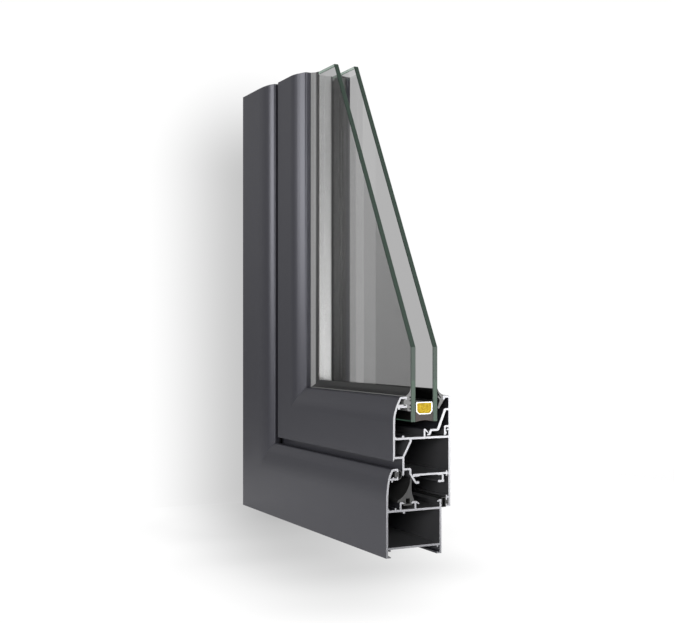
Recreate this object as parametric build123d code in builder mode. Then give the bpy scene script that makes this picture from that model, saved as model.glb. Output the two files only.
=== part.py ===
from build123d import *
import os

# Corner sample of an inward opening aluminium window, in millimetres.
# X runs along the bottom members from the outer corner, Y runs from the front face to the back,
# and Z runs up the side members. Each section is drawn once, as depth from the front face and
# height in from the outer edge, and serves the bottom and the side member alike.

# Size of the sample
sample_width = 267.0
sample_height = 372.0
# from the outer edges to where the slanted cut of the glass meets each cut end
pane_reach = 146.5

# Walls shared by the profiles, and the clearance of what fits in them
wall = 1.5
web = 1.4
lip = 1.1
slip = 0.15

# Small ribs, barbs and rounded corners shared by the profiles
rib_height = 1.3
barb_drop = 1.0
barb_edge = 0.5
inner_round = 0.5
outer_round = 1.3
nose_round = 2.0

# Outer frame
frame_depth = 45.0
channel_depth = 5.8
channel_foot = 3.8
foot_thickness = 0.8
chamber_height = 24.4
upstand_rise = 5.3
upstand_barb = 2.1
frame_nose = 28.7
frame_curve = 22.8
frame_lean = (1.4, 7.8)
frame_lip_setback = 4.9
frame_lip_reach = 9.6
rebate_rib = 7.0
chamber_rib = 13.5

# Groove in the inner lip of the frame, which holds the frame seal
lip_groove_height = 5.1
lip_groove_catch = 0.9
lip_groove_stop = 5.3
drip_height = 2.6

# Groove for the centre seal, over the frame's chamber
centre_groove = 10.8
centre_groove_width = 13.4
centre_mouth = 5.7
centre_catch = 2.3
centre_hook = 2.6
centre_hook_drop = 1.8

# Sash
sash_setback = 5.5
sash_gap = 5.9
sash_overlap = 5.6
sash_nose_rise = 6.9
sash_drip = 1.6
nose_leg = 5.4
bulb_room = 3.4
step_depth = 5.6
step_drop = 4.2
groove_ceiling_drop = 4.4
sash_chamber_height = 24.4
brace_reach = 0.4
brace_width = 1.8
sash_curve = 18.3
sash_lean = (1.7, 8.4)
sash_lip_rise = 28.5
sash_lip_setback = 5.6
sash_lip_reach = 11.2
glazing_rib = 7.3

# Hardware groove on the outer edge of the sash, set back from the step in front of it
groove_setback = 6.6
groove_depth = 4.0
groove_mouth = 15.5
groove_catch = 3.1
groove_foot = 1.5
groove_pad = 0.5
groove_heel = 0.4

# Groove on the sash overlap, which holds the sash seal
seal_groove_height = 5.1
seal_groove_depth = 2.1
seal_groove_catch = 1.0
seal_groove_lip = 1.5

# Glazing groove in the inner lip of the sash
glazing_groove_height = 4.9
glazing_catch = 0.8
glazing_ledge = 0.9
glazing_drip = 2.4

# Glazing bead and its two clips
bead_upstand_setback = 24.8
bead_upstand_rise = 5.5
bead_hook = 2.5
bead_hook_drop = 2.6
bead_wall_rise = 5.3
bead_wall_barb = 1.7
bead_lip_hook = 1.2
bead_floor_rise = 3.7
bead_floor_setback = 1.4
bead_floor_depth = 5.7
bead_toe = 2.6
bead_web_drop = 9.0
bead_web_depth = 3.5
bead_foot_rise = 6.0
bead_foot_depth = 5.2
bead_foot_gap = 0.6
bead_snap = 0.9

# Glass unit
pane = 4.0
cavity = 14.0
outer_gap = 3.1
inner_gap = 4.5
glass_lift = 10.6
arris = 0.4

# Spacer bar between the panes
butyl = 0.5
spacer_inset = 5.3
spacer_height = 8.5
spacer_chamfer = 2.0
spacer_wall = 0.5
sealant_hollow = 1.0

# Gasket outside the glass, measured from the top of the sash lip
outer_gasket_drop = 10.2
outer_gasket_head = 1.4
feather_rise = 6.4
feather_cover = 1.2
rib_gap = 1.0
rib_depth = 1.2
rib_gap_drops = (8.6, 6.1, 2.7, 0.5)

# Gasket inside the glass, measured from the top of the bead
inner_gasket_drop = 9.0
inner_gasket_cover = 2.1
inner_gasket_heel = 1.1
inner_feather_rise = 5.0

# Seals between the frame and the sash
bulb_skin = 0.5
bulb_overhang = 1.2
seal_head = 1.5
centre_foot_drop = 2.7
centre_foot_catch = 0.6
centre_skirt = 1.8
centre_hollow = (3.1, 3.8)
sash_bulb_height = 7.1

# Corner cleats inside the chambers
cleat_leg = 80.0
cleat_wall = 5.0

# Heights in the section that more than one piece uses
chamber_floor = channel_depth + web
chamber_ceiling = chamber_floor + chamber_height
rebate = chamber_ceiling + wall
upstand_top = rebate + upstand_rise
frame_top = rebate + frame_nose
lip_groove_floor = frame_top - wall - lip_groove_height
sash_low = upstand_top - sash_overlap
nose_floor = frame_top + sash_nose_rise
groove_ceiling = frame_top - groove_ceiling_drop
groove_low = groove_ceiling - web - groove_depth - groove_foot
sash_chamber_top = groove_ceiling + sash_chamber_height
glazing_floor = sash_chamber_top + wall
sash_top = glazing_floor + sash_lip_rise
glazing_groove_floor = sash_top - wall - glazing_groove_height
bead_upstand_top = glazing_floor + bead_upstand_rise
bead_wall_low = glazing_floor + bead_wall_rise
bead_floor = glazing_floor + bead_floor_rise
bead_web = sash_top - bead_web_drop
bead_foot = glazing_floor + bead_foot_rise
glass_low = glazing_floor + glass_lift
spacer_low = glass_low + spacer_inset
spacer_shoulder = spacer_low + spacer_chamfer
spacer_top = spacer_low + spacer_height

# Depths in the section that more than one piece uses
back_wall = frame_depth - wall
centre_groove_back = centre_groove + centre_groove_width
centre_mouth_front = centre_groove + web + centre_catch
centre_mouth_back = centre_mouth_front + centre_mouth
nose_front = frame_lip_reach + bulb_room
nose_back = nose_front + wall
step_back = nose_back + step_depth
brace_back = step_back + brace_reach
mouth_front = step_back + groove_setback
mouth_back = mouth_front + groove_mouth
groove_back = mouth_back + groove_catch
sash_lip_end = sash_setback + sash_lip_reach
sash_back = frame_depth + sash_gap
sash_outer = sash_back + wall
seal_groove_front = sash_back - seal_groove_depth
glass_front = sash_lip_end + outer_gap
cavity_front = glass_front + pane
cavity_back = cavity_front + cavity
glass_back = cavity_back + pane
spacer_front = cavity_front + butyl
spacer_back = cavity_back - butyl
bead_front = glass_back + inner_gap
bead_upstand = sash_setback + bead_upstand_setback
bead_upstand_back = bead_upstand + web
bead_clip = bead_upstand_back + bead_hook + bead_floor_setback
bead_foot_front = sash_outer - bead_foot_depth
bead_brace = sash_back - bead_web_depth

# Planes of the two cut ends and of the mitre between the members
SILL_END = Plane.YZ.offset(sample_width)
JAMB_END = Plane(origin=(0, 0, sample_height), x_dir=(0, 1, 0), z_dir=(0, 0, -1))
MITRE = Plane(origin=(0, 0, 0), x_dir=(0, 1, 0), z_dir=(1, 0, -1))


def bar(front, back, low, high):
    """A straight wall of a section, between two depths and two heights."""
    with Locations((front, low)):
        Rectangle(back - front, high - low, align=Align.MIN)


def slab(*corners):
    """A sloped wall of a section, through its corners."""
    Polygon(*corners, align=None)


def barb(root, tip, top, flat=0.0):
    """A barb on a wall: sloped from its root to a blunt tip, level underneath."""
    slab(
        (root, top),
        (root + flat * (tip - root), top),
        (tip, top - barb_drop),
        (tip, top - barb_drop - barb_edge),
        (root, top - barb_drop - barb_edge),
    )


def drooping_hook(root, reach, top, drop):
    """A hook that slopes back and down from the top of an upstand."""
    slab(
        (root, top),
        (root + reach, top - drop),
        (root + reach - barb_edge, top - drop - barb_edge),
        (root, top - web),
    )


def round_corner(depth, height, radius):
    """Rounds the corner of the section that is nearest to a point."""
    fillet(vertices().sort_by_distance((depth, height))[0], radius)


def leaning_front(front, low, bend, lean, top, setback, reach):
    """A front wall that is flat, then leans back in two arcs to a lip along its top."""
    middle = (front + lean[0], top - lean[1])
    corner = (front + setback, top)
    with BuildLine() as skin:
        flat = Line((front, low), (front, bend))
        shoulder = TangentArc(flat @ 1, middle, tangent=flat % 1)
        crown = TangentArc(shoulder @ 1, corner, tangent=shoulder % 1)
        Line(crown @ 1, (front + reach, top))
        offset(amount=wall, side=Side.RIGHT, kind=Kind.INTERSECTION)
    make_face(skin.edges())


def mitred_leg(section, upright=False):
    """One length of a section, square at the cut end and mitred at the corner."""
    with BuildPart() as leg:
        with BuildSketch(JAMB_END if upright else SILL_END):
            add(section.sketch)
        extrude(amount=sample_height if upright else -sample_width)
        split(bisect_by=MITRE, keep=Keep.BOTTOM if upright else Keep.TOP)
    return leg.part


def add_both_legs(section):
    """Both legs of a piece that runs round the corner in one length."""
    add(mitred_leg(section))
    add(mitred_leg(section, upright=True))


# Section of the outer frame
with BuildSketch() as frame_section:
    leaning_front(0, 0, frame_top - frame_curve, frame_lean, frame_top, frame_lip_setback, frame_lip_reach)
    bar(back_wall, frame_depth, 0, upstand_top)
    bar(wall / 2, frame_depth, channel_depth, chamber_floor)
    bar(wall / 2, frame_depth, chamber_ceiling, rebate)
    # feet that turn into the open channel along the outer edge, and the ribs that face them
    foot_back = frame_depth - channel_foot
    bar(0, channel_foot, 0, foot_thickness)
    bar(foot_back, frame_depth, 0, foot_thickness)
    bar(foot_back, foot_back + foot_thickness, 0, foot_thickness + barb_edge)
    bar(channel_foot - lip, channel_foot, channel_depth - rib_height, channel_depth)
    bar(foot_back, foot_back + lip, channel_depth - rib_height, channel_depth)
    # front lip, its seal groove and the drip rib under it
    groove_lip = frame_lip_reach - lip
    bar(groove_lip, frame_lip_reach, frame_top - wall - lip_groove_catch, frame_top)
    bar(frame_lip_setback / 2, frame_lip_reach, lip_groove_floor - web, lip_groove_floor)
    bar(groove_lip, frame_lip_reach, lip_groove_floor - web, lip_groove_floor + lip_groove_catch)
    bar(
        lip_groove_stop,
        lip_groove_stop + lip,
        lip_groove_floor - web,
        lip_groove_floor + lip_groove_catch,
    )
    bar(lip_groove_stop - lip, lip_groove_stop, lip_groove_floor - drip_height, lip_groove_floor)
    # two upstands that hold the centre seal
    bar(centre_groove, centre_groove + web, rebate, upstand_top)
    barb(centre_groove + web, centre_mouth_front, upstand_top, flat=0.5)
    bar(centre_groove_back - web, centre_groove_back, rebate, upstand_top)
    barb(centre_groove_back - web, centre_mouth_back, upstand_top, flat=0.7)
    drooping_hook(centre_groove_back, centre_hook, upstand_top, centre_hook_drop)
    # the back wall ends in a barb over the rebate
    barb(back_wall, back_wall - upstand_barb, upstand_top)
    # small ribs on the floor of the rebate, and one under it that guides the corner cleat
    slab((wall, rebate), (wall + rib_height, rebate), (wall, rebate + rib_height))
    bar(rebate_rib, rebate_rib + lip, rebate, rebate + rib_height)
    bar(chamber_rib, chamber_rib + wall, chamber_ceiling - rib_height, chamber_ceiling)
    # rounded corners
    round_corner(frame_lip_setback, frame_top, nose_round)
    round_corner(frame_lip_reach, frame_top, inner_round)
    round_corner(frame_lip_reach, lip_groove_floor - web, inner_round)
    round_corner(centre_groove, upstand_top, inner_round)
    round_corner(frame_depth, upstand_top, inner_round)
    round_corner(wall, chamber_floor, inner_round)
    round_corner(wall, chamber_ceiling, inner_round)
    round_corner(back_wall, chamber_floor, inner_round)
    round_corner(back_wall, chamber_ceiling, inner_round)

# Section of the sash
with BuildSketch() as sash_section:
    leaning_front(
        sash_setback, nose_floor, sash_top - sash_curve, sash_lean, sash_top, sash_lip_setback, sash_lip_reach
    )
    bar(sash_back, sash_outer, sash_low, bead_wall_low)
    bar(sash_setback + wall / 2, sash_outer, sash_chamber_top, glazing_floor)
    bar(sash_setback + wall / 2, nose_back, nose_floor, nose_floor + web)
    # pointed drip edge in front, and the leg behind it that the frame seal presses on
    slab(
        (sash_setback, nose_floor),
        (sash_setback, nose_floor - sash_drip),
        (sash_setback + wall, nose_floor),
    )
    bar(nose_front, nose_back, frame_top - web, nose_floor)
    slab(
        (nose_front, frame_top),
        (nose_front, frame_top - nose_leg + wall / 2),
        (nose_front + wall / 4, frame_top - nose_leg),
        (nose_back - wall / 4, frame_top - nose_leg + wall / 2),
        (nose_back, frame_top - web),
    )
    # sloped brace between the front hollow and the main chamber
    slab(
        (nose_front, nose_floor + web),
        (nose_front + brace_width, nose_floor + web),
        (brace_back, sash_chamber_top - web),
        (brace_back, sash_chamber_top),
        (brace_back - brace_width, sash_chamber_top),
        (brace_back - brace_width, sash_chamber_top - web),
    )
    # step, and the slope down from it to the front foot of the hardware groove
    bar(nose_back, step_back, frame_top - web, frame_top)
    bar(step_back - wall, step_back, frame_top - step_drop, frame_top)
    slope_high = (step_back - wall, frame_top - step_drop)
    slope_low = (mouth_front - groove_catch, groove_low)
    slab(
        slope_high,
        (step_back, frame_top - step_drop + barb_edge),
        (mouth_front - groove_catch + barb_edge, groove_low + groove_foot),
        (mouth_front, groove_low + groove_foot),
        (mouth_front, groove_low),
        slope_low,
    )
    # ceiling and back foot of the hardware groove, with a pad above each foot
    bar(step_back + slip, mouth_front, groove_ceiling - web, groove_ceiling - web / 2)
    bar(step_back + web, sash_outer, groove_ceiling - web, groove_ceiling)
    bar(step_back + web, mouth_front, groove_ceiling - web - groove_pad, groove_ceiling)
    bar(mouth_back, groove_back, groove_ceiling - web - groove_pad, groove_ceiling)
    bar(groove_back, groove_back + wall, groove_low, groove_ceiling)
    bar(mouth_back, groove_back + wall + groove_heel, groove_low, groove_low + groove_foot)
    # rib across the ceiling that guides the corner cleat
    bar(seal_groove_front, seal_groove_front + lip, groove_ceiling - web - rib_height, groove_ceiling + rib_height)
    # groove for the sash seal on the overlap
    seal_groove_low = sash_low + lip
    seal_groove_high = seal_groove_low + seal_groove_height
    seal_groove_inner = seal_groove_front + seal_groove_catch
    bar(seal_groove_front, sash_back, sash_low, seal_groove_low)
    bar(seal_groove_front, seal_groove_inner, sash_low, seal_groove_low + seal_groove_catch)
    bar(seal_groove_front, sash_back, seal_groove_high, seal_groove_high + lip)
    bar(
        seal_groove_front,
        seal_groove_inner,
        seal_groove_high - seal_groove_lip,
        seal_groove_high + lip + seal_groove_catch,
    )
    # glazing groove in the front lip
    ledge = sash_setback + sash_lip_reach / 4
    bar(sash_lip_end - lip, sash_lip_end, sash_top - wall - glazing_catch, sash_top)
    bar(ledge, sash_lip_end, glazing_groove_floor - web, glazing_groove_floor)
    bar(ledge, sash_lip_end - 2 * web, glazing_groove_floor - web / 2, glazing_groove_floor + glazing_ledge)
    bar(
        sash_lip_end - lip,
        sash_lip_end,
        glazing_groove_floor - web,
        glazing_groove_floor + glazing_catch,
    )
    bar(ledge + lip, ledge + 2.5 * lip, glazing_groove_floor - glazing_drip, glazing_groove_floor)
    # hooked upstand and the barb on the back wall, which hold the bead
    bar(bead_upstand, bead_upstand_back, glazing_floor, bead_upstand_top)
    drooping_hook(bead_upstand_back, bead_hook, bead_upstand_top, bead_hook_drop)
    barb(sash_back, sash_back - bead_wall_barb, bead_wall_low)
    # small ribs on the floor of the glazing rebate
    rebate_front = sash_setback + wall
    slab(
        (rebate_front, glazing_floor),
        (rebate_front + rib_height, glazing_floor),
        (rebate_front, glazing_floor + rib_height),
    )
    bar(
        sash_setback + glazing_rib,
        sash_setback + glazing_rib + wall,
        glazing_floor,
        glazing_floor + rib_height,
    )
    # rounded corners
    round_corner(sash_setback + sash_lip_setback, sash_top, nose_round)
    round_corner(sash_lip_end, sash_top, inner_round)
    round_corner(sash_lip_end, glazing_groove_floor - web, inner_round)
    round_corner(step_back, frame_top, outer_round)
    round_corner(brace_back, sash_chamber_top - web, nose_round)
    round_corner(brace_back - brace_width, sash_chamber_top - web, inner_round)
    round_corner(*slope_low, outer_round)
    round_corner(mouth_front, groove_low, inner_round)
    round_corner(mouth_front, groove_low + groove_foot, inner_round)
    round_corner(mouth_back, groove_low, inner_round)
    round_corner(mouth_back, groove_low + groove_foot, inner_round)
    round_corner(groove_back + wall + groove_heel, groove_low, inner_round)
    round_corner(groove_back + wall + groove_heel, groove_low + groove_foot, inner_round / 2)
    round_corner(step_back + web, groove_ceiling, inner_round)
    round_corner(bead_upstand, bead_upstand_top, inner_round)
    round_corner(sash_back, sash_chamber_top, inner_round)
    round_corner(sash_outer, sash_low, inner_round)

# Section of the glazing bead
with BuildSketch() as bead_section:
    bar(sash_back, sash_outer, bead_wall_low + slip, sash_top)
    # top flange with a hook that holds the inner gasket
    bar(bead_front, sash_outer, sash_top - wall, sash_top)
    slab(
        (bead_front, sash_top - wall),
        (bead_front, sash_top - wall - bead_lip_hook),
        (bead_front + bead_lip_hook, sash_top - wall - bead_lip_hook),
        (bead_front + 1.5 * bead_lip_hook, sash_top - wall),
    )
    # web, brace and floor, each as thick as the others
    floor_end = bead_clip + bead_floor_depth
    bar(bead_brace + web, sash_outer, bead_web - web, bead_web)
    slab(
        (floor_end, bead_floor + web),
        (bead_brace, bead_web),
        (bead_brace + wall, bead_web),
        (bead_brace + wall, bead_web - web),
        (floor_end + wall, bead_floor),
        (floor_end, bead_floor),
    )
    bar(bead_clip, floor_end + wall / 2, bead_floor, bead_floor + web)
    # front clip, whose toe turns under the hook of the upstand
    clip_low = bead_floor - 2 * web
    slab(
        (bead_clip, bead_floor + web),
        (bead_clip + web, bead_floor + web),
        (bead_clip + web, bead_floor),
        (bead_clip, clip_low),
        (bead_clip - bead_toe, clip_low),
        (bead_clip - bead_toe, clip_low + barb_edge),
        (bead_clip - web, clip_low + barb_drop),
    )
    # back clip, whose barb snaps under the one on the sash wall
    bar(bead_foot_front, sash_outer, bead_foot, bead_foot + web)
    bar(bead_foot_front, bead_foot_front + web, glazing_floor + bead_foot_gap, bead_foot + web)
    slab(
        (bead_foot_front + web, glazing_floor + bead_foot_gap),
        (bead_foot_front + web + bead_snap, glazing_floor + bead_foot_gap + 2 * bead_snap),
        (bead_foot_front + web, glazing_floor + bead_foot_gap + 2.5 * bead_snap),
    )
    # rounded corners
    round_corner(bead_brace, bead_web, outer_round)
    round_corner(floor_end, bead_floor + web, outer_round)
    round_corner(floor_end + wall, bead_floor, nose_round)
    round_corner(bead_clip, bead_floor + web, outer_round)
    round_corner(bead_foot_front, bead_foot + web, outer_round)
    round_corner(sash_outer, sash_top, inner_round)

# Section of the spacer bar and of what lies in and round it
with BuildSketch() as spacer_outline:
    slab(
        (spacer_front, spacer_top),
        (spacer_back, spacer_top),
        (spacer_back, spacer_shoulder),
        (spacer_back - spacer_chamfer, spacer_low),
        (spacer_front + spacer_chamfer, spacer_low),
        (spacer_front, spacer_shoulder),
    )
    round_corner(spacer_front, spacer_top, inner_round)
    round_corner(spacer_back, spacer_top, inner_round)
with BuildSketch() as desiccant_section:
    offset(spacer_outline.sketch, amount=-spacer_wall)
with BuildSketch() as spacer_section:
    add(spacer_outline.sketch)
    add(desiccant_section.sketch, mode=Mode.SUBTRACT)
with BuildSketch() as butyl_section:
    bar(cavity_front, spacer_front, spacer_shoulder, spacer_top - inner_round)
    bar(spacer_back, cavity_back, spacer_shoulder, spacer_top - inner_round)
with BuildSketch() as sealant_section:
    with BuildLine():
        rim = Polyline(
            (cavity_front, glass_low),
            (cavity_front, spacer_shoulder),
            (cavity_back, spacer_shoulder),
            (cavity_back, glass_low),
        )
        ThreePointArc(rim @ 1, ((cavity_front + cavity_back) / 2, glass_low + sealant_hollow), rim @ 0)
    make_face()
    add(spacer_outline.sketch, mode=Mode.SUBTRACT)

# Gasket between the sash lip and the outer pane, with ribs and a feather edge on the glass
with BuildSketch() as outer_gasket_section:
    neck_front = sash_lip_end - lip - slip
    bar(
        neck_front - outer_gasket_head,
        neck_front,
        glazing_groove_floor + 2 * slip,
        sash_top - wall - 2 * slip,
    )
    round_corner(neck_front - outer_gasket_head, glazing_groove_floor, 0.8 * outer_gasket_head)
    round_corner(neck_front - outer_gasket_head, sash_top - wall, 0.8 * outer_gasket_head)
    bar(
        neck_front,
        sash_lip_end + slip,
        glazing_groove_floor + glazing_catch + slip,
        sash_top - wall - glazing_catch - slip,
    )
    bar(sash_lip_end + slip, glass_front, sash_top - outer_gasket_drop, sash_top + barb_drop)
    round_corner(sash_lip_end + slip, sash_top - outer_gasket_drop, outer_round)
    for drop in rib_gap_drops:
        with Locations((glass_front, sash_top - drop)):
            Rectangle(2 * rib_depth, rib_gap, mode=Mode.SUBTRACT)
    cover_end = sash_lip_end - feather_cover
    with BuildLine():
        edge = Polyline(
            (glass_front - slip, sash_top + feather_rise),
            (glass_front, sash_top + feather_rise),
            (glass_front, sash_top + slip),
            (cover_end, sash_top + slip),
            (cover_end, sash_top + barb_edge),
        )
        ThreePointArc(edge @ 1, (glass_front - feather_cover, sash_top + feather_rise / 2), edge @ 0)
    make_face()

# Wedge gasket between the bead and the inner pane: a heel, a spine and two lips on the glass
with BuildSketch() as inner_gasket_section:
    seat = bead_front - slip
    heel = sash_top - wall - bead_lip_hook - slip
    tail = sash_top - inner_gasket_drop
    with BuildLine():
        cap = Polyline(
            (seat + inner_gasket_cover, sash_top + barb_edge),
            (seat + inner_gasket_cover, sash_top + slip),
            (seat, sash_top + slip),
            (seat, heel),
            (seat + inner_gasket_heel, heel),
        )
        back = ThreePointArc(cap @ 1, (seat - 0.7, sash_top - 5.4), (glass_back + 1.0, tail - 0.2))
        front = Polyline(
            back @ 1,
            (glass_back + 0.1, tail + 0.1),
            (glass_back + 0.05, tail + 0.6),
            (glass_back + 0.6, tail + 2.2),
            (glass_back + 1.7, sash_top - 3.6),
            (glass_back + 1.8, sash_top - 2.8),
            (glass_back + 0.05, sash_top - 0.9),
            (glass_back + 0.05, sash_top + 0.4),
            (glass_back + 1.4, sash_top - 0.6),
            (glass_back + 2.5, sash_top - 1.7),
            (glass_back + 2.8, sash_top - 1.0),
            (glass_back + 1.8, sash_top + 0.2),
            (glass_back + 0.6, sash_top + 2.1),
            (glass_back, sash_top + inner_feather_rise - 1.5),
            (glass_back, sash_top + inner_feather_rise),
        )
        ThreePointArc(front @ 1, (glass_back + 2.1, sash_top + 2.0), cap @ 0)
    make_face()

# Bulb seal in the front lip of the frame
with BuildSketch() as frame_seal_section:
    neck_front = frame_lip_reach - lip - slip
    bar(
        neck_front - seal_head,
        neck_front,
        lip_groove_floor + 2 * slip,
        frame_top - wall - 2 * slip,
    )
    round_corner(neck_front - seal_head, lip_groove_floor, 0.8 * seal_head)
    round_corner(neck_front - seal_head, frame_top - wall, 0.8 * seal_head)
    bar(
        neck_front,
        frame_lip_reach + slip,
        lip_groove_floor + lip_groove_catch + slip,
        frame_top - wall - lip_groove_catch - slip,
    )
    bulb_top = frame_top - barb_edge
    bulb_low = lip_groove_floor - bulb_overhang
    bulb_back = nose_front - 2 * slip
    with BuildLine():
        root = Line((frame_lip_reach + slip, bulb_low), (frame_lip_reach + slip, bulb_top))
        ThreePointArc(root @ 1, (bulb_back, (bulb_low + bulb_top) / 2), root @ 0)
    bulb = make_face()
    offset(bulb, amount=-bulb_skin, mode=Mode.SUBTRACT)

# Centre seal, which stands in its groove and leans on the slope of the sash
seal_tip = Vector(*slope_high) * 0.6 + Vector(*slope_low) * 0.4 - Vector(slip, 0)
seal_seat = upstand_top + slip
seal_catch = upstand_top - barb_drop - barb_edge - slip
seal_foot = upstand_top - centre_foot_drop
with BuildSketch() as centre_seal_section:
    with BuildLine():
        underside = Polyline(
            (centre_groove - 1.2, seal_seat + 1.2),
            (centre_groove - centre_skirt, seal_seat - 0.4),
            (centre_groove - 0.2, seal_seat),
            (centre_mouth_front + slip, seal_seat),
            (centre_mouth_front + slip, seal_catch),
            (centre_mouth_front - centre_foot_catch, seal_catch),
            (centre_mouth_front - centre_foot_catch, seal_foot),
            (centre_mouth_back + centre_foot_catch, seal_foot),
            (centre_mouth_back + centre_foot_catch, seal_catch),
            (centre_mouth_back - slip, seal_catch),
            (centre_mouth_back - slip, seal_seat),
            (centre_mouth_back + centre_hook, seal_seat),
            (centre_mouth_back + centre_hook - 0.4, seal_seat + 1.1),
        )
        back = Spline(
            underside @ 1,
            (centre_mouth_back + 0.5, seal_seat + 5.5),
            (seal_tip.X, seal_tip.Y),
            tangents=((-0.6, 1), (0, 1)),
        )
        tip = Line(back @ 1, (seal_tip.X - 1.0, seal_tip.Y - 0.3))
        ThreePointArc(tip @ 1, (centre_mouth_front + 1.9, seal_seat + 7.0), underside @ 0)
    make_face()
    with Locations(((centre_mouth_front + centre_mouth_back) / 2, seal_seat + 0.2)):
        Rectangle(*centre_hollow, mode=Mode.SUBTRACT)

# Bulb seal in the groove of the sash overlap, which presses on the back of the frame
with BuildSketch() as sash_seal_section:
    bar(
        seal_groove_inner + slip,
        sash_back - slip,
        seal_groove_low + 2 * slip,
        seal_groove_high - 2 * slip,
    )
    bar(
        seal_groove_front - slip,
        seal_groove_inner + slip,
        seal_groove_low + seal_groove_catch + slip,
        seal_groove_high - seal_groove_lip - slip,
    )
    bulb_front = frame_depth + slip
    with Locations((bulb_front, sash_low - 2 * slip)):
        tube = Rectangle(seal_groove_front - slip - bulb_front, sash_bulb_height, align=Align.MIN)
    offset(tube, amount=-bulb_skin, mode=Mode.SUBTRACT)

# Members of the outer frame and of the sash, and the beads
with BuildPart() as frame_sill:
    add(mitred_leg(frame_section))
with BuildPart() as frame_jamb:
    add(mitred_leg(frame_section, upright=True))
with BuildPart() as sash_rail:
    add(mitred_leg(sash_section))
with BuildPart() as sash_stile:
    add(mitred_leg(sash_section, upright=True))
with BuildPart() as bead_rail:
    add(mitred_leg(bead_section))
with BuildPart() as bead_stile:
    add(mitred_leg(bead_section, upright=True))

# Pieces of the glass unit that run round the corner
with BuildPart() as spacer_bar:
    add_both_legs(spacer_section)
with BuildPart() as desiccant:
    add_both_legs(desiccant_section)
with BuildPart() as butyl_seals:
    add_both_legs(butyl_section)
with BuildPart() as edge_sealant:
    add_both_legs(sealant_section)

# Gaskets and seals
with BuildPart() as outer_glazing_gasket:
    add_both_legs(outer_gasket_section)
with BuildPart() as inner_glazing_gasket:
    add_both_legs(inner_gasket_section)
with BuildPart() as frame_seal:
    add_both_legs(frame_seal_section)
with BuildPart() as centre_seal:
    add_both_legs(centre_seal_section)
with BuildPart() as sash_seal:
    add_both_legs(sash_seal_section)


def draw_pane(front):
    """One sheet of glass, its free corner cut off at a slant."""
    with BuildSketch(Plane.XZ.offset(-front)) as outline:
        slab(
            (glass_low, glass_low),
            (sample_width, glass_low),
            (sample_width, pane_reach),
            (pane_reach, sample_height),
            (glass_low, sample_height),
        )
    extrude(outline.sketch, amount=-pane)
    chamfer(faces().filter_by(Axis.Y).edges(), arris)


with BuildPart() as outer_pane:
    draw_pane(glass_front)
with BuildPart() as inner_pane:
    draw_pane(cavity_back)


def draw_cleat(front, back, low, high):
    """An angle block for the mitre, hollowed from front to back, inside two chambers."""
    end = low + cleat_leg
    with BuildSketch(Plane.XZ.offset(-front)) as outline:
        slab((low, low), (end, low), (end, high), (high, high), (high, end), (low, end))
        room = (high - low) - 2 * cleat_wall
        start = high + cleat_wall
        run = end - cleat_wall - start
        middle = (low + high) / 2
        with Locations((start + run / 2, middle)):
            Rectangle(run, room, mode=Mode.SUBTRACT)
        with Locations((middle, start + run / 2)):
            Rectangle(room, run, mode=Mode.SUBTRACT)
    extrude(outline.sketch, amount=front - back)


# Corner cleats, which slide into the chambers between the ribs and the far wall
with BuildPart() as frame_corner_cleat:
    draw_cleat(wall + slip, back_wall - slip, chamber_floor + slip, chamber_ceiling - rib_height - slip)
with BuildPart() as sash_corner_cleat:
    draw_cleat(
        brace_back + slip, sash_back - slip, groove_ceiling + rib_height + slip, sash_chamber_top - slip
    )

pieces = {
    "frame_sill": frame_sill,
    "frame_jamb": frame_jamb,
    "sash_rail": sash_rail,
    "sash_stile": sash_stile,
    "bead_rail": bead_rail,
    "bead_stile": bead_stile,
    "outer_pane": outer_pane,
    "inner_pane": inner_pane,
    "spacer_bar": spacer_bar,
    "desiccant": desiccant,
    "butyl_seals": butyl_seals,
    "edge_sealant": edge_sealant,
    "outer_glazing_gasket": outer_glazing_gasket,
    "inner_glazing_gasket": inner_glazing_gasket,
    "frame_seal": frame_seal,
    "centre_seal": centre_seal,
    "sash_seal": sash_seal,
    "frame_corner_cleat": frame_corner_cleat,
    "sash_corner_cleat": sash_corner_cleat,
}
os.makedirs("parts", exist_ok=True)
for label, piece in pieces.items():
    piece.part.label = label
    export_step(piece.part, f"parts/{label}.step")
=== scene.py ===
"""Studio picture of a mitred corner sample of an aluminium window.

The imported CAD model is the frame: metres, X along the bottom members, Y from the outside to the
room side, Z up. Both members are cut square, at the largest X and at the largest Z.
"""

import math

import bpy
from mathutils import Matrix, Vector


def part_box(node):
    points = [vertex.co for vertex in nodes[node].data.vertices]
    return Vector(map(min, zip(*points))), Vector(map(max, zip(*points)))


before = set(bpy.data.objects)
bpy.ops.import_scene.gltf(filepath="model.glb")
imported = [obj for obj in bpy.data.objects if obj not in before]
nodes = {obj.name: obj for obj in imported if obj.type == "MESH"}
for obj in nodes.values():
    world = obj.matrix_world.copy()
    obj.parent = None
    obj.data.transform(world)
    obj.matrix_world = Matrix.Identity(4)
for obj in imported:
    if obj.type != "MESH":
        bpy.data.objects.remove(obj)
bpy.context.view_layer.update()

# Where the two members are cut, and how near to it a surface still counts as cut
CUT_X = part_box("frame_sill")[1].x
CUT_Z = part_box("frame_jamb")[1].z
SKIN = 0.00004

# Depths of the frame chamber, and the height up to which they count
CHAMBER_FRONT = 0.0016
CHAMBER_BACK = 0.0444
CHAMBER_TOP = 0.0315

# Depths of the hollows above it, behind the nose of the sash, and where all hollows begin and end
HOLLOW_FRONT = 0.0135
HOLLOW_BACK = 0.0512
HOLLOW_FOOT = 0.0062
HOLLOW_TOP = 0.0880

# Sawn metal: the heights between which its painted shade low down ends, and the depths for the
# painted shade at its front
SAWN_SHADE_RISE = (0.015, 0.075)
SAWN_SHADE_DEPTH = (0.004, 0.042)
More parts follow.
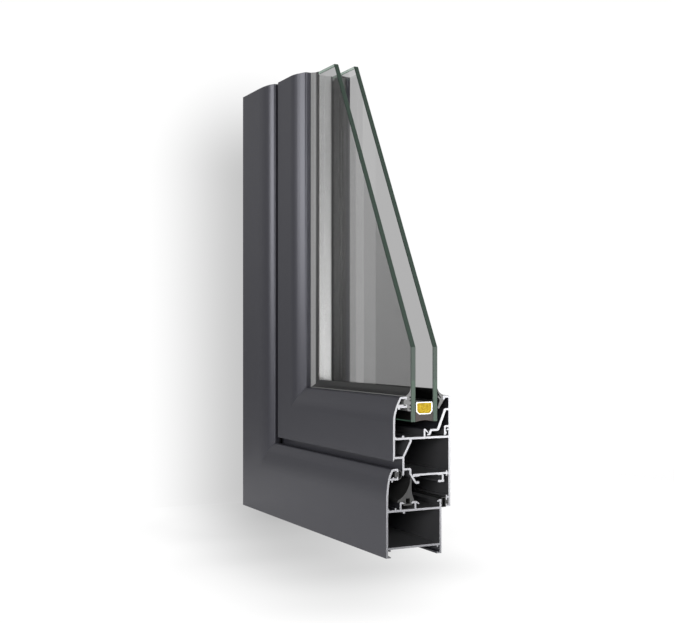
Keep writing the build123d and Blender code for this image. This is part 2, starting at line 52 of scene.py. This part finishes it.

# The outer gasket gets painted shade this near to the front of the glass
GLASS_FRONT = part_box("outer_pane")[0].y
GASKET_SHADE_TIP = 0.0012

# The cut end of a pane gets painted light, which makes it paler, below this height
EDGE_PAINTED_LIGHT_BELOW = 0.123

# A surface is square to an axis from this part of its normal on, and an arris leans this much
SQUARE_ON = 0.9
LEANING = 0.5

# Sealant on the spacer bar, partly painted shade, fades between these distances from its front and
# from its back
SMEAR_FRONT = (0.0005, 0.0020)
SMEAR_BACK = (0.0000, 0.0014)

# Camera: place, level heading and lens, worked out from the photograph
CAMERA_PLACE = (0.91904, -0.36592, 0.15491)
CAMERA_HEADING = math.radians(63.31)
FOCAL_PIXELS = 1078.96
PICTURE_WIDTH, PICTURE_HEIGHT = 674, 623
HORIZON_ROW = 335.07
SENSOR_WIDTH = 36.0


def toned(colour, factor):
    """The colour made darker or lighter, with no part of it over 1."""
    return tuple(min(1, part * factor) for part in colour)


# Colours, linear
COAT = (0.023, 0.023, 0.0282)
COAT_DARK = toned(COAT, 0.93)
COAT_REFLECTION = (0.90, 0.90, 1.0)
# a lighter tone painted inside the hollows, standing in for the light that reaches into them
HOLLOW_PAINTED_LIGHT = (0.060, 0.060, 0.063)
SAWN = (0.31, 0.31, 0.32)
SAWN_DULL = toned(SAWN, 0.9)
# painted shade on the sawn metal: darker towards the front, and a little darker low down
SAWN_FRONT_SHADE = toned(SAWN, 0.62)
SAWN_LOW_SHADE = (0.29, 0.29, 0.305)
SAWN_LOW_SHADE_DULL = toned(SAWN_LOW_SHADE, 0.9)
SAWN_LOW_FRONT_SHADE = toned(SAWN_LOW_SHADE, 0.70)
GLASS_FACE = (0.69, 0.69, 0.69)
GLASS_EDGE = (0.032, 0.047, 0.038)
GLASS_EDGE_DARK = toned(GLASS_EDGE, 0.85)
GLASS_EDGE_LIGHT = toned(GLASS_EDGE, 1.1)
# painted light: a paler green for the low part of a pane's cut end
GLASS_EDGE_LOW_LIT = (0.038, 0.064, 0.046)
# painted glow on an arris seen from inside the glass
GLASS_ARRIS_GLOW = (0.07, 0.14, 0.10)
# painted shade: a darker green for the arrises, seen from outside the glass
GLASS_ARRIS_SHADE = (0.014, 0.024, 0.018)
# painted glow on the other edges seen from inside the glass, and on the top edge
GLASS_INSIDE_GLOW = (0.035, 0.075, 0.050)
GLASS_TOP_GLOW = (0.50, 0.62, 0.54)
GASKET = (0.19, 0.19, 0.19)
SEAL = (0.020, 0.020, 0.020)
RUBBER_CUT = (0.15, 0.15, 0.15)
SEAL_CUT = (0.060, 0.060, 0.060)
SPACER = (0.78, 0.78, 0.775)
SPACER_DARK = toned(SPACER, 0.985)
SPACER_CUT = toned(SPACER, 0.6)
DRYING = (0.25, 0.158, 0.0075)
DRYING_HIGHLIGHT = (0.60, 0.43, 0.033)
SEALANT = (0.042, 0.033, 0.030)
BUTYL = (0.10, 0.10, 0.10)
CLEAT = (0.55, 0.55, 0.56)
WHITE = (1, 1, 1)

# Factors for the darkest and the lightest grain of rubber, and of the small plain pieces
RUBBER_GRAIN = (0.85, 1.15)
PLAIN_GRAIN = (0.9, 1.1)

# Painted shade makes rubber darker this fast as its surface turns upwards
UPWARD_PAINTED_SHADE = 2.5

# Roughness over the range of the grain, and what a cut end adds to it
COAT_ROUGHNESS = (0.34, 0.40)
SAWN_ROUGHER = (-0.04, 0.06)
RUBBER_ROUGHNESS = (0.30, 0.40)
RUBBER_CUT_ROUGHER = 0.3
GLASS_EDGE_ROUGHNESS = (0.40, 0.55)
SPACER_ROUGHNESS = (0.27, 0.33)

# The roughness of a plain piece varies by this much either way
PLAIN_VARIES = 0.05

# How metallic the sawn ends are, and the share of the coat's fine dimples in the relief
SAWN_METALLIC = 0.35
PEEL_RELIEF = 0.4

# Glass: the index that gives its mirror, and the share of it on the room side of a pane
MIRROR_INDEX = 1.8
ROOM_SIDE_MIRROR = 0.35

# What the tone of the drying beads is stretched to, where 0 is their dark colour and 1 the light
# colour of their painted highlight
BEAD_CONTRAST = (-0.2, 1.8)


class Nodes:
    """The node tree of a new material or world, and short ways to add nodes to it."""

    def __init__(self, owner, output="ShaderNodeOutputMaterial"):
        self.owner = owner
        owner.use_nodes = True
        self.tree = owner.node_tree
        self.tree.nodes.clear()
        self.output = self.add(output)

    def add(self, kind, **settings):
        node = self.tree.nodes.new(kind)
        for key, value in settings.items():
            setattr(node, key, value)
        return node

    def feed(self, socket, value):
        """Join another node's output to an input, or set the input to a constant."""
        if isinstance(value, bpy.types.NodeSocket):
            self.tree.links.new(value, socket)
        elif socket.type == "RGBA":
            socket.default_value = (*value, 1)
        else:
            socket.default_value = value

    def fill(self, node, *in_order, **by_name):
        """Feed the inputs of a node, the named ones with underscores for spaces."""
        for socket, value in zip(node.inputs, in_order):
            self.feed(socket, value)
        for key, value in by_name.items():
            self.feed(node.inputs[key.replace("_", " ")], value)
        return node

    def maths(self, operation, *values):
        node = self.add("ShaderNodeMath", operation=operation)
        return self.fill(node, *values).outputs[0]

    def vector_maths(self, operation, *values):
        node = self.add("ShaderNodeVectorMath", operation=operation)
        kind = "Value" if operation in ("DOT_PRODUCT", "LENGTH") else "Vector"
        return self.fill(node, *values).outputs[kind]

    def split(self, vector):
        """The three numbers of a vector, under the names X, Y and Z."""
        return self.fill(self.add("ShaderNodeSeparateXYZ"), vector).outputs

    def place(self):
        """Position in the frame, as a vector and as its three numbers."""
        position = self.add("ShaderNodeTexCoord").outputs["Object"]
        return position, self.split(position)

    def between(self, value, low, high):
        """1 where the value is between two others, 0 elsewhere."""
        above = self.maths("GREATER_THAN", value, low)
        below = self.maths("LESS_THAN", value, high)
        return self.maths("MULTIPLY", above, below)

    def right_end(self, parts):
        """1 on the sawn end of the bottom members, 0 elsewhere."""
        return self.maths("GREATER_THAN", parts["X"], CUT_X - SKIN)

    def top_end(self, parts):
        """1 on the sawn end of the side members, 0 elsewhere."""
        return self.maths("GREATER_THAN", parts["Z"], CUT_Z - SKIN)

    def cut_mask(self, parts):
        """1 on both sawn ends, 0 elsewhere."""
        return self.maths("MAXIMUM", self.right_end(parts), self.top_end(parts))

    def hollow_mask(self, parts):
        """1 inside the profiles, behind the front walls and below the glass, 0 elsewhere; the coat
        is painted lighter there, standing in for light inside.
        """
        rise = self.maths("MINIMUM", parts["X"], parts["Z"])
        in_chamber = self.maths("LESS_THAN", rise, CHAMBER_TOP)
        front = self.spread(in_chamber, HOLLOW_FRONT, CHAMBER_FRONT)
        back = self.spread(in_chamber, HOLLOW_BACK, CHAMBER_BACK)
        inside = self.between(parts["Y"], front, back)
        return self.maths("MULTIPLY", inside, self.between(rise, HOLLOW_FOOT, HOLLOW_TOP))

    def noise(self, vector, scale, detail, stretch=(1, 1, 1)):
        mapping = self.fill(self.add("ShaderNodeMapping"), Vector=vector, Scale=stretch)
        texture = self.add("ShaderNodeTexNoise")
        self.fill(texture, Vector=mapping.outputs[0], Scale=scale, Detail=detail)
        return texture.outputs["Fac"]

    def mix(self, factor, first, second):
        """A colour between two: the first where the factor is 0, the second where it is 1."""
        node = self.add("ShaderNodeMix", data_type="RGBA")
        # for colours the node uses its inputs 0, 6 and 7, and its output 2
        for number, value in ((0, factor), (6, first), (7, second)):
            self.feed(node.inputs[number], value)
        return node.outputs[2]

    def spread(self, value, low, high):
        """A value from 0 to 1 stretched to another range."""
        node = self.add("ShaderNodeMapRange")
        return self.fill(node, value, 0, 1, low, high).outputs[0]

    def fade(self, value, full, gone):
        """1 where the value is `full`, falling to 0 where it is `gone`."""
        node = self.add("ShaderNodeMapRange")
        return self.fill(node, value, full, gone, 1, 0).outputs[0]

    def step(self, value, start, end, before, after):
        """A smooth step from `before` to `after` while the value goes from start to end."""
        node = self.add("ShaderNodeMapRange", interpolation_type="SMOOTHSTEP")
        return self.fill(node, value, start, end, before, after).outputs[0]

    def output_of(self, kind, **by_name):
        """The first output of a new node with these inputs."""
        return self.fill(self.add(kind), **by_name).outputs[0]

    def bump(self, height, strength, distance):
        return self.output_of(
            "ShaderNodeBump", Height=height, Strength=strength, Distance=distance
        )

    def blend(self, factor, first, second):
        """A shader between two: the first where the factor is 0, the second where it is 1."""
        return self.fill(self.add("ShaderNodeMixShader"), factor, first, second).outputs[0]

    def finish(self, shader):
        """Join the shader to the output, and return the material or world."""
        self.feed(self.output.inputs["Surface"], shader)
        return self.owner


def coated_metal(name):
    """Satin powder coat, and bright sawn metal where the profile is cut."""
    n = Nodes(bpy.data.materials.new(name))
    position, parts = n.place()
    cut = n.cut_mask(parts)
    cloud = n.noise(position, scale=14, detail=3)
    peel = n.noise(position, scale=1500, detail=2)
    saw = n.noise(position, scale=420, detail=3, stretch=(1, 6, 1))
    # inside the hollows the coat gets a lighter painted tone, standing in for light that reaches in
    skin = n.mix(n.hollow_mask(parts), n.mix(cloud, COAT_DARK, COAT), HOLLOW_PAINTED_LIGHT)
    # the sawn metal is streaked, and painted shade makes it a little darker low down and much darker
    # towards the front
    rise = n.step(parts["Z"], *SAWN_SHADE_RISE, before=0, after=1)
    bright = n.mix(rise, SAWN_LOW_SHADE, SAWN)
    dull = n.mix(rise, SAWN_LOW_SHADE_DULL, SAWN_DULL)
    front = n.mix(rise, SAWN_LOW_FRONT_SHADE, SAWN_FRONT_SHADE)
    sawn = n.mix(n.fade(parts["Y"], *SAWN_SHADE_DEPTH), n.mix(saw, dull, bright), front)
    rougher = n.maths("MULTIPLY", cut, n.spread(saw, *SAWN_ROUGHER))
    dimples = n.maths("MULTIPLY", peel, PEEL_RELIEF)
    relief = n.maths("ADD", dimples, n.maths("MULTIPLY", cut, saw))
    shader = n.output_of(
        "ShaderNodeBsdfPrincipled",
        Base_Color=n.mix(cut, skin, sawn),
        Metallic=n.maths("MULTIPLY", cut, SAWN_METALLIC),
        Roughness=n.maths("ADD", n.spread(peel, *COAT_ROUGHNESS), rougher),
        Specular_Tint=COAT_REFLECTION,
        Normal=n.bump(relief, strength=0.12, distance=0.00005),
    )
    return n.finish(shader)


def rubber(name, colour, cut_colour):
    """Extruded rubber, with painted shade along the glass and where it faces up, another tone where
    it is cut.
    """
    n = Nodes(bpy.data.materials.new(name))
    position, parts = n.place()
    cut = n.cut_mask(parts)
    grain = n.noise(position, scale=900, detail=3)
    darker, lighter = RUBBER_GRAIN
    shade_at_glass = n.between(parts["Y"], GLASS_FRONT - GASKET_SHADE_TIP, GLASS_FRONT + GASKET_SHADE_TIP)
    normal = n.split(n.add("ShaderNodeNewGeometry").outputs["Normal"])
    upward_shade = n.maths("MULTIPLY", normal["Z"], UPWARD_PAINTED_SHADE)
    body = n.mix(grain, toned(colour, darker), toned(colour, lighter))
    # painted shade: the rubber turns to the dark seal colour along the glass and where it faces up
    body = n.mix(n.maths("MAXIMUM", shade_at_glass, upward_shade), body, SEAL)
    face = n.mix(grain, toned(cut_colour, darker), cut_colour)
    rougher = n.maths("MULTIPLY", cut, RUBBER_CUT_ROUGHER)
    shader = n.output_of(
        "ShaderNodeBsdfPrincipled",
        Base_Color=n.mix(cut, body, face),
        Roughness=n.maths("ADD", n.spread(grain, *RUBBER_ROUGHNESS), rougher),
        Specular_IOR_Level=0.2,
        Normal=n.bump(grain, strength=0.15, distance=0.00008),
    )
    return n.finish(shader)


def sheet_glass(name):
    """Flat tinted glass: light goes straight through the faces, and the ground edges are green, with
    painted light, shade and glow on them.
    """
    n = Nodes(bpy.data.materials.new(name))
    position, parts = n.place()
    geometry = n.add("ShaderNodeNewGeometry")
    behind = geometry.outputs["Backfacing"]
    normal = n.split(geometry.outputs["True Normal"])
    across = n.maths("ABSOLUTE", normal["Y"])
    edge = n.maths("LESS_THAN", across, SQUARE_ON)
    arris = n.maths("GREATER_THAN", across, LEANING)
    # faces: a tint at each face and a mirror that grows at a glancing angle, weaker on the room side
    clear = n.output_of("ShaderNodeBsdfTransparent", Color=GLASS_FACE)
    mirror = n.output_of("ShaderNodeBsdfGlossy", Roughness=0.0)
    fresnel = n.output_of("ShaderNodeFresnel", IOR=MIRROR_INDEX)
    outside = n.maths("LESS_THAN", normal["Y"], 0.0)
    share = n.maths(
        "MULTIPLY", n.maths("SUBTRACT", 1.0, behind), n.spread(outside, ROOM_SIDE_MIRROR, 1.0)
    )
    face = n.blend(n.maths("MULTIPLY", fresnel, share), clear, mirror)
    # edges: deep green, with painted light that makes the low part of the cut end paler and painted
    # shade that makes the arrises darker
    grind = n.noise(position, scale=700, detail=3)
    low = n.maths("LESS_THAN", parts["Z"], EDGE_PAINTED_LIGHT_BELOW)
    low = n.maths("MULTIPLY", low, n.right_end(parts))
    deep = n.mix(grind, GLASS_EDGE_DARK, GLASS_EDGE_LIGHT)
    rim = n.output_of(
        "ShaderNodeBsdfPrincipled",
        Base_Color=n.mix(arris, n.mix(low, deep, GLASS_EDGE_LOW_LIT), GLASS_ARRIS_SHADE),
        Roughness=n.spread(grind, *GLASS_EDGE_ROUGHNESS),
        Specular_IOR_Level=0.25,
        Normal=n.bump(grind, strength=0.1, distance=0.00005),
    )
    # a painted glow: seen from inside the glass an edge glows green, the top one the most
    upper = n.maths("GREATER_THAN", n.maths("ABSOLUTE", normal["Z"]), SQUARE_ON)
    upper = n.maths("MULTIPLY", upper, n.top_end(parts))
    painted_glow = n.output_of(
        "ShaderNodeEmission",
        Color=n.mix(upper, n.mix(arris, GLASS_INSIDE_GLOW, GLASS_ARRIS_GLOW), GLASS_TOP_GLOW),
    )
    return n.finish(n.blend(edge, face, n.blend(behind, rim, painted_glow)))


def plain(name, colour, roughness, metallic=0.0):
    """Finely grained, in one tone on a cut end, for the small pieces."""
    n = Nodes(bpy.data.materials.new(name))
    position, parts = n.place()
    speck = n.noise(position, scale=600, detail=3)
    dark, light = (toned(colour, factor) for factor in PLAIN_GRAIN)
    shader = n.output_of(
        "ShaderNodeBsdfPrincipled",
        Base_Color=n.mix(n.cut_mask(parts), n.mix(speck, dark, light), colour),
        Metallic=metallic,
        Roughness=n.spread(speck, roughness - PLAIN_VARIES, roughness + PLAIN_VARIES),
        Normal=n.bump(speck, strength=0.2, distance=0.00005),
    )
    return n.finish(shader)


def spacer_metal(name):
    """Rolled aluminium, with the dark sealant pressed a little way over its edges, which also serves
    as painted shade along them.
    """
    n = Nodes(bpy.data.materials.new(name))
    position, parts = n.place()
    low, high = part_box("spacer_bar")
    speck = n.noise(position, scale=600, detail=3)
    # the dark band along each edge is sealant, and also stands in for the shade beside the gasket
    sealant_and_shade = n.maths(
        "MAXIMUM",
        n.fade(parts["Y"], low.y + SMEAR_FRONT[0], low.y + SMEAR_FRONT[1]),
        n.fade(parts["Y"], high.y - SMEAR_BACK[0], high.y - SMEAR_BACK[1]),
    )
    skin = n.mix(sealant_and_shade, n.mix(speck, SPACER_DARK, SPACER), SEALANT)
    shader = n.output_of(
        "ShaderNodeBsdfPrincipled",
        Base_Color=n.mix(n.cut_mask(parts), skin, SPACER_CUT),
        Metallic=0.7,
        Roughness=n.spread(speck, *SPACER_ROUGHNESS),
    )
    return n.finish(shader)


def drying_beads(name):
    """Yellow drying beads: round cells, with a painted highlight that makes each lighter in the
    middle.
    """
    n = Nodes(bpy.data.materials.new(name))
    position, _ = n.place()
    cells = n.fill(n.add("ShaderNodeTexVoronoi"), Vector=position, Scale=1100)
    # painted highlight and shade: each bead lighter at its middle and darker at its rim, mixed with
    # a random tone
    round_top = n.spread(cells.outputs["Distance"], 1, 0)
    tone = n.maths("MULTIPLY", round_top, n.noise(position, scale=900, detail=2))
    shader = n.output_of(
        "ShaderNodeBsdfPrincipled",
        Base_Color=n.mix(n.spread(tone, *BEAD_CONTRAST), DRYING, DRYING_HIGHLIGHT),
        Roughness=0.85,
        Specular_IOR_Level=0.15,
        Normal=n.bump(round_top, strength=0.6, distance=0.0004),
    )
    return n.finish(shader)


coated = coated_metal("powder_coat")
feather_rubber = rubber("feather_rubber", GASKET, RUBBER_CUT)
wedge_rubber = rubber("wedge_rubber", SEAL, RUBBER_CUT)
seal_rubber = rubber("seal_rubber", SEAL, SEAL_CUT)
glass = sheet_glass("sheet_glass")
bare_metal = spacer_metal("spacer_metal")
sealant = plain("edge_sealant", SEALANT, roughness=0.75)
butyl = plain("butyl", BUTYL, roughness=0.6)
beads = drying_beads("drying_beads")
cleat_metal = plain("cleat_metal", CLEAT, roughness=0.5, metallic=0.6)

finishes = {
    "frame_sill": coated,
    "frame_jamb": coated,
    "sash_rail": coated,
    "sash_stile": coated,
    "bead_rail": coated,
    "bead_stile": coated,
    "outer_pane": glass,
    "inner_pane": glass,
    "spacer_bar": bare_metal,
    "desiccant": beads,
    "butyl_seals": butyl,
    "edge_sealant": sealant,
    "outer_glazing_gasket": feather_rubber,
    "inner_glazing_gasket": wedge_rubber,
    "frame_seal": seal_rubber,
    "centre_seal": seal_rubber,
    "sash_seal": seal_rubber,
    "frame_corner_cleat": cleat_metal,
    "sash_corner_cleat": cleat_metal,
}
for name, material in finishes.items():
    for slot in nodes[name].material_slots:
        slot.material = material

# Floor and backdrop: sheets that the camera sees as white, with a painted soft shadow round the
# object
FLOOR_MIDDLE = (0.13, 0.02, -0.0003)
FLOOR_RADIUS = 0.45
FLOOR_CORNERS = 128
FLOOR_MATT = (0.8, 0.8, 0.8)
FLOOR_MATT_SEEN = (0.06, 0.06, 0.06)
FLOOR_IN_GLOSS = 0.33
BACKDROP_SETBACK = 0.020
BACKDROP_LIFT = 0.022
BACKDROP_WIDTH = 2.4
BACKDROP_HEIGHT = 1.2

# Boxes round which the soft shadow is painted: two corners, how dark it is there, and how far it
# reaches
SHADOWS = (
    (Vector((0, 0.023, 0.014)), Vector((0.05, 0.027, 0.298)), 0.51, 0.121),
    (Vector((0.106, -0.021, -0.001)), Vector((0.148, 0.006, 0)), 0.21, 0.14),
    (Vector((0.151, -0.024, -0.001)), Vector((0.277, -0.019, 0)), 0.32, 0.104),
    (Vector((0.237, -0.081, -0.001)), Vector((0.351, -0.079, 0)), 0.19, 0.09),
)


def distance_to_box(n, position, low, high):
    """Distance from a point to the box between two corners, 0 inside it."""
    away = n.vector_maths("SUBTRACT", position, (low + high) / 2)
    either_side = n.vector_maths("ABSOLUTE", away)
    beyond = n.vector_maths("SUBTRACT", either_side, (high - low) / 2)
    return n.vector_maths("LENGTH", n.vector_maths("MAXIMUM", beyond, (0, 0, 0)))


def painted_soft_shadow(n):
    """White, with a painted shadow that is darker near each of the shadow boxes."""
    position = n.add("ShaderNodeNewGeometry").outputs["Position"]
    tone = 1.0
    for low, high, darkness, reach in SHADOWS:
        distance = distance_to_box(n, position, low, high)
        shadow = n.step(distance, start=0, end=reach, before=1 - darkness, after=1)
        tone = n.maths("MULTIPLY", shadow, tone)
    return tone


def floor_sheet():
    """Matt white to lamplight, and mostly a glow to the camera, with a weaker one in reflections."""
    n = Nodes(bpy.data.materials.new("floor_sheet"))
    path = n.add("ShaderNodeLightPath").outputs
    matt = n.mix(path["Is Camera Ray"], FLOOR_MATT, FLOOR_MATT_SEEN)
    seen = n.maths("MULTIPLY", path["Is Camera Ray"], painted_soft_shadow(n))
    mirrored = n.maths("MULTIPLY", path["Is Glossy Ray"], FLOOR_IN_GLOSS)
    glow = n.output_of("ShaderNodeEmission", Strength=n.maths("ADD", seen, mirrored))
    sheet = n.output_of("ShaderNodeBsdfDiffuse", Color=matt)
    both = n.fill(n.add("ShaderNodeAddShader"), sheet, glow)
    return n.finish(both.outputs[0])


def backdrop_sheet():
    """White from the object's side, clear from behind, so that it hides nothing in other views."""
    n = Nodes(bpy.data.materials.new("backdrop_sheet"))
    behind = n.add("ShaderNodeNewGeometry").outputs["Backfacing"]
    tone = n.maths("ADD", painted_soft_shadow(n), BACKDROP_LIFT)
    glow = n.output_of("ShaderNodeEmission", Strength=tone)
    return n.finish(n.blend(behind, glow, n.output_of("ShaderNodeBsdfTransparent")))


bpy.ops.mesh.primitive_circle_add(
    vertices=FLOOR_CORNERS, radius=FLOOR_RADIUS, fill_type="NGON", location=FLOOR_MIDDLE
)
floor = bpy.context.object
floor.name = "floor"
floor.data.materials.append(floor_sheet())
bpy.ops.mesh.primitive_plane_add(
    size=1,
    location=(-BACKDROP_SETBACK, 0, BACKDROP_HEIGHT / 2 + FLOOR_MIDDLE[2]),
    rotation=(0, math.pi / 2, 0),
)
backdrop = bpy.context.object
backdrop.name = "backdrop"
backdrop.scale = (BACKDROP_HEIGHT, BACKDROP_WIDTH, 1)
backdrop.data.materials.append(backdrop_sheet())
backdrop.visible_diffuse = False
backdrop.visible_glossy = False
backdrop.visible_transmission = False
backdrop.visible_shadow = False


def facing(azimuth, elevation):
    """A direction: azimuth 0 is in front of the object, 90 on its right."""
    a = math.radians(azimuth)
    e = math.radians(elevation)
    return Vector((math.sin(a) * math.cos(e), -math.cos(a) * math.cos(e), math.sin(e)))


# World: white to the camera, and to the rest dim, with soft cards behind right and in front left
DIM = 0.05
BAND_EDGE = -61.2
world = bpy.data.worlds.new("studio")
bpy.context.scene.world = world
w = Nodes(world, "ShaderNodeOutputWorld")
view_direction = w.add("ShaderNodeTexCoord").outputs["Generated"]
view_height = w.split(view_direction)["Z"]

# How far the view is past the band's edge nearest the front, as the sine of the angle
past_edge = w.vector_maths("DOT_PRODUCT", view_direction, facing(BAND_EDGE - 90, 0))


def card(azimuth, elevation, core, rim, brightness):
    """A round soft card: full inside the core angle, nothing outside the rim, in degrees."""
    towards = w.vector_maths("DOT_PRODUCT", view_direction, facing(azimuth, elevation))
    inner = math.cos(math.radians(core))
    outer = math.cos(math.radians(rim))
    return w.step(towards, start=outer, end=inner, before=0.0, after=brightness)


def stripe(rise, fall, before, after):
    """1 between two upright steps past the edge, and other values before and after them."""
    rising = w.step(past_edge, *rise, before=before, after=1.0)
    falling = w.step(past_edge, *fall, before=1.0, after=after)
    return w.maths("MULTIPLY", rising, falling)


# Behind on the right: one card, strongest below
back_right = w.maths(
    "MULTIPLY",
    card(azimuth=117, elevation=-7, core=10, rim=30, brightness=5.0),
    w.step(view_height, start=-0.06, end=0.12, before=2.0, after=0.1),
)

# In front on the left: a dim card with a darker strip in it
dark_strip = w.maths(
    "MAXIMUM",
    w.step(past_edge, start=0.028, end=0.031, before=1.0, after=0.55),
    w.step(past_edge, start=0.056, end=0.060, before=0.0, after=1.0),
)
dim_card = card(azimuth=BAND_EDGE - 5, elevation=15, core=6, rim=22, brightness=0.50)

# Across it a narrow band with sharp edges, seen in the glass, that is brightest in its middle
band = w.maths(
    "MULTIPLY",
    card(azimuth=BAND_EDGE - 1, elevation=2, core=12, rim=17, brightness=1.0),
    stripe(rise=(0.0, 0.002), fall=(0.0240, 0.0266), before=0.0, after=0.0),
)
middle = stripe(rise=(0.0112, 0.0128), fall=(0.0185, 0.0200), before=0.45, after=0.55)

# And a low glow all round, below the horizon
low_glow = w.step(view_height, start=-0.13, end=-0.045, before=0.36, after=0.0)

front_left = w.maths("MULTIPLY", dim_card, dark_strip)
front_left = w.maths("ADD", front_left, w.maths("MULTIPLY", band, middle))
front_left = w.maths("ADD", front_left, low_glow)
strength = w.maths("ADD", w.maths("ADD", back_right, front_left), DIM)
soft = w.output_of("ShaderNodeBackground", Color=WHITE, Strength=strength)
white = w.output_of("ShaderNodeBackground", Color=WHITE, Strength=1.0)
w.finish(w.blend(w.add("ShaderNodeLightPath").outputs["Is Camera Ray"], soft, white))

# Lamps stand round the middle of the object, all at the same distance
MIDDLE = Vector((0.12, 0.03, 0.16))
LAMP_DISTANCE = 1.3


def soft_lamp(name, azimuth, elevation, size, power):
    """An area lamp, wide and high as given in metres, that faces the middle of the object."""
    lamp = bpy.data.lights.new(name, "AREA")
    lamp.shape = "RECTANGLE"
    lamp.size, lamp.size_y = size
    lamp.energy = power
    holder = bpy.data.objects.new(name, lamp)
    outward = facing(azimuth, elevation)
    holder.location = MIDDLE + LAMP_DISTANCE * outward
    holder.rotation_euler = (-outward).to_track_quat("-Z", "Y").to_euler()
    bpy.context.scene.collection.objects.link(holder)


soft_lamp("key", azimuth=-9, elevation=15, size=(0.6, 0.55), power=12)
soft_lamp("side", azimuth=45, elevation=4, size=(0.7, 0.3), power=7.2)
soft_lamp("camera_side", azimuth=86, elevation=14, size=(0.8, 0.4), power=9)
soft_lamp("back", azimuth=-155, elevation=25, size=(0.9, 0.9), power=6)

# Camera at the photograph's angle
camera_data = bpy.data.cameras.new("camera")
camera_data.sensor_width = SENSOR_WIDTH
camera_data.lens = FOCAL_PIXELS / PICTURE_WIDTH * SENSOR_WIDTH
camera_data.shift_y = (HORIZON_ROW - PICTURE_HEIGHT / 2) / PICTURE_WIDTH
camera = bpy.data.objects.new("camera", camera_data)
camera.location = CAMERA_PLACE
camera.rotation_euler = (math.pi / 2, 0, CAMERA_HEADING)
bpy.context.scene.collection.objects.link(camera)
bpy.context.scene.camera = camera
bpy.context.scene.view_settings.view_transform = "Standard"
